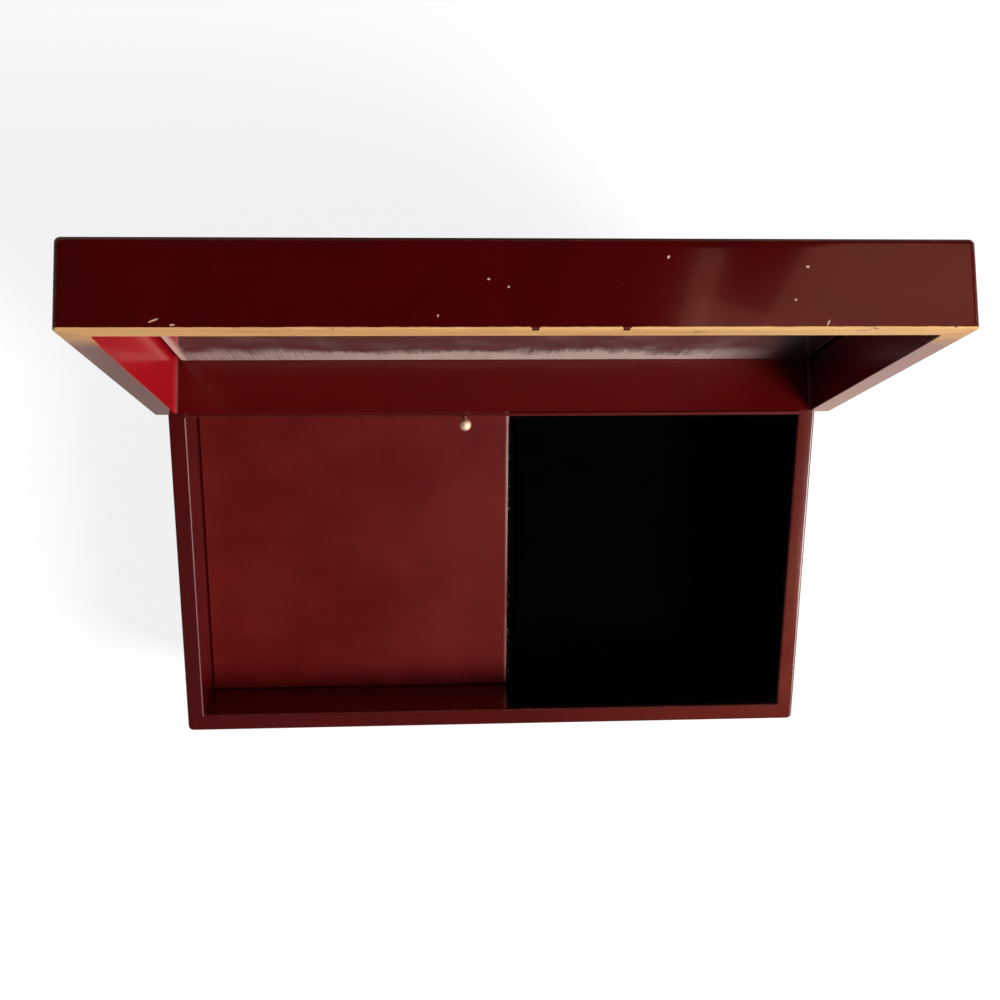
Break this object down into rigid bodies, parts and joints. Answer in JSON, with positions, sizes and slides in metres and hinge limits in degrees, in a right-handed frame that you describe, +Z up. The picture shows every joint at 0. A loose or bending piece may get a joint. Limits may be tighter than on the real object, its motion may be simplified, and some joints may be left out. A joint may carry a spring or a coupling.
{
  "type": "musical jewelry box",
  "caption": "Lacquered wooden jewelry box with a mirrored lift-up lid, a velvet compartment and a wind-up comb movement under a flat cover with a stop pin.",
  "frame": {"origin": "under the middle of the footprint of the box with its lid open, at the height of the surface it stands on", "axes": "+X to the right along the width, +Y to the back where the hinges are, +Z up"},
  "size_m": [0.2362, 0.1906, 0.1851],
  "materials": {
    "case_lacquer": "gloss dark red lacquer",
    "lid_lacquer": "gloss dark red lacquer",
    "plain_wood": "unfinished wood",
    "velvet": "short black pile",
    "mirror_glass": "silvered plate glass",
    "mirror_card": "grey card",
    "brass": "turned brass",
    "steel": "ground steel",
    "spring_steel": "blued steel",
    "cast_plate": "cast bedplate"
  },
  "bodies": {
    "case": {"case_front_wall": "case_lacquer", "case_right_wall": "case_lacquer", "case_back_wall": "case_lacquer", "case_left_wall": "case_lacquer", "movement_cover": "case_lacquer", "bottom_board": "plain_wood", "compartment_divider": "plain_wood", "cover_ledge_back": "plain_wood", "cover_ledge_front": "plain_wood", "cover_ledge_left": "plain_wood", "velvet_lining_front": "velvet", "velvet_lining_back": "velvet", "velvet_lining_left": "velvet", "velvet_lining_right": "velvet", "velvet_floor_pad": "velvet", "governor_bridge": "brass", "spring_drum": "brass", "hinge_case_leaf_left": "brass", "hinge_pin_left": "brass", "hinge_case_leaf_right": "brass", "hinge_pin_right": "brass", "music_comb": "steel", "movement_screw_1": "steel", "movement_screw_2": "steel", "movement_screw_3": "steel", "comb_screw_1": "steel", "comb_screw_2": "steel", "bridge_screw": "steel", "stop_pin_spring": "steel", "mainspring": "spring_steel", "movement_bedplate": "cast_plate"},
    "lid": {"lid_front_rail": "lid_lacquer", "lid_right_rail": "lid_lacquer", "lid_back_rail": "lid_lacquer", "lid_left_rail": "lid_lacquer", "lid_top_panel": "lid_lacquer", "mirror_backing_card": "mirror_card", "lid_mirror": "mirror_glass", "hinge_lid_leaf_left": "brass", "hinge_lid_leaf_right": "brass"},
    "stop_pin": {"stop_pin_ball": "brass", "stop_pin_rod": "brass", "stop_arm": "brass"},
    "cylinder": {"pinned_cylinder": "brass", "crown_pinion": "brass", "cylinder_gear": "brass", "cylinder_arbor": "steel"},
    "winding": {"crown_wheel": "brass", "winding_arbor": "steel", "winding_key": "brass"},
    "governor_wheel": {"governor_pinion": "brass", "worm_wheel": "brass", "governor_arbor": "steel"},
    "governor": {"governor_worm": "steel", "governor_fly": "brass"}
  },
  "joints": [
    {"name": "lid_hinge", "type": "hinge", "parent": "case", "child": "lid", "pos_m": [0, 0.02866, 0.067], "axis": [1, 0, 0], "range_deg": [0, 112]},
    {"name": "stop_pin_slide", "type": "slide", "parent": "case", "child": "stop_pin", "axis": [0, 0, 1], "range_m": [-0.00375, 0], "stiffness_N_per_m": 20, "deforming": ["stop_pin_spring"]},
    {"name": "cylinder_spin", "type": "hinge", "parent": "case", "child": "cylinder", "pos_m": [-0.0375, -0.00634, 0.028], "axis": [1, 0, 0], "continuous": true},
    {"name": "winding_spin", "type": "hinge", "parent": "case", "child": "winding", "pos_m": [-0.0608, -0.00634, 0.015], "axis": [0, 0, 1], "continuous": true},
    {"name": "governor_wheel_spin", "type": "hinge", "parent": "case", "child": "governor_wheel", "pos_m": [-0.0375, 0.00366, 0.028], "axis": [1, 0, 0], "continuous": true},
    {"name": "governor_spin", "type": "hinge", "parent": "case", "child": "governor", "pos_m": [-0.0204, 0.00916, 0.025], "axis": [0, 0, 1], "continuous": true}
  ],
  "couplings": [
    {"joint": "stop_pin_slide", "follows": "lid_hinge", "m_per_rad": -0.001918},
    {"joint": "winding_spin", "follows": "cylinder_spin", "ratio": 0.3},
    {"joint": "governor_wheel_spin", "follows": "cylinder_spin", "ratio": -3},
    {"joint": "governor_spin", "follows": "cylinder_spin", "ratio": 48}
  ]
}
